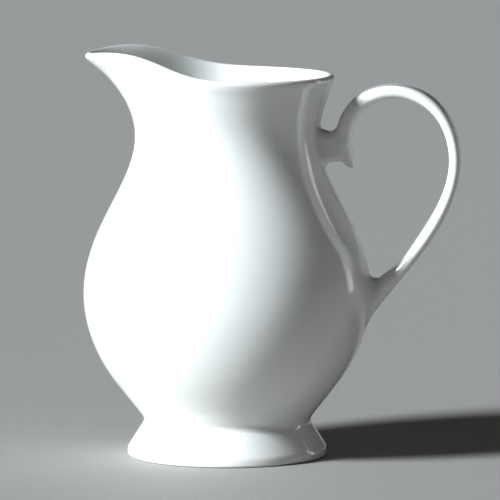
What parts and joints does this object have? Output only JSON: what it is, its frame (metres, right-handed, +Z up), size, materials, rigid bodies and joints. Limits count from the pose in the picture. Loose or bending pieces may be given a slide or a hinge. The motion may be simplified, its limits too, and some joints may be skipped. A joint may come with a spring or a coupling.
{
  "type": "cream jug",
  "caption": "Footed porcelain cream jug with a round belly, a drawn pouring lip and a tall looped strap handle.",
  "frame": {"origin": "centre of the foot ring, in the plane it rests on, on the axis of the round vessel", "axes": "+Z up out of the mouth, +X towards the handle, -X towards the pouring lip, Y across"},
  "size_m": [0.1096, 0.0836, 0.118],
  "materials": {
    "porcelain_glaze": "clear gloss glaze over white porcelain",
    "slip_glaze": "clear gloss glaze over luting slip"
  },
  "bodies": {
    "root": {"body": "porcelain_glaze", "foot": "porcelain_glaze", "handle": "porcelain_glaze", "foot_slip_joint": "slip_glaze", "handle_upper_slip_joint": "slip_glaze", "handle_lower_slip_joint": "slip_glaze"}
  },
  "joints": []
}
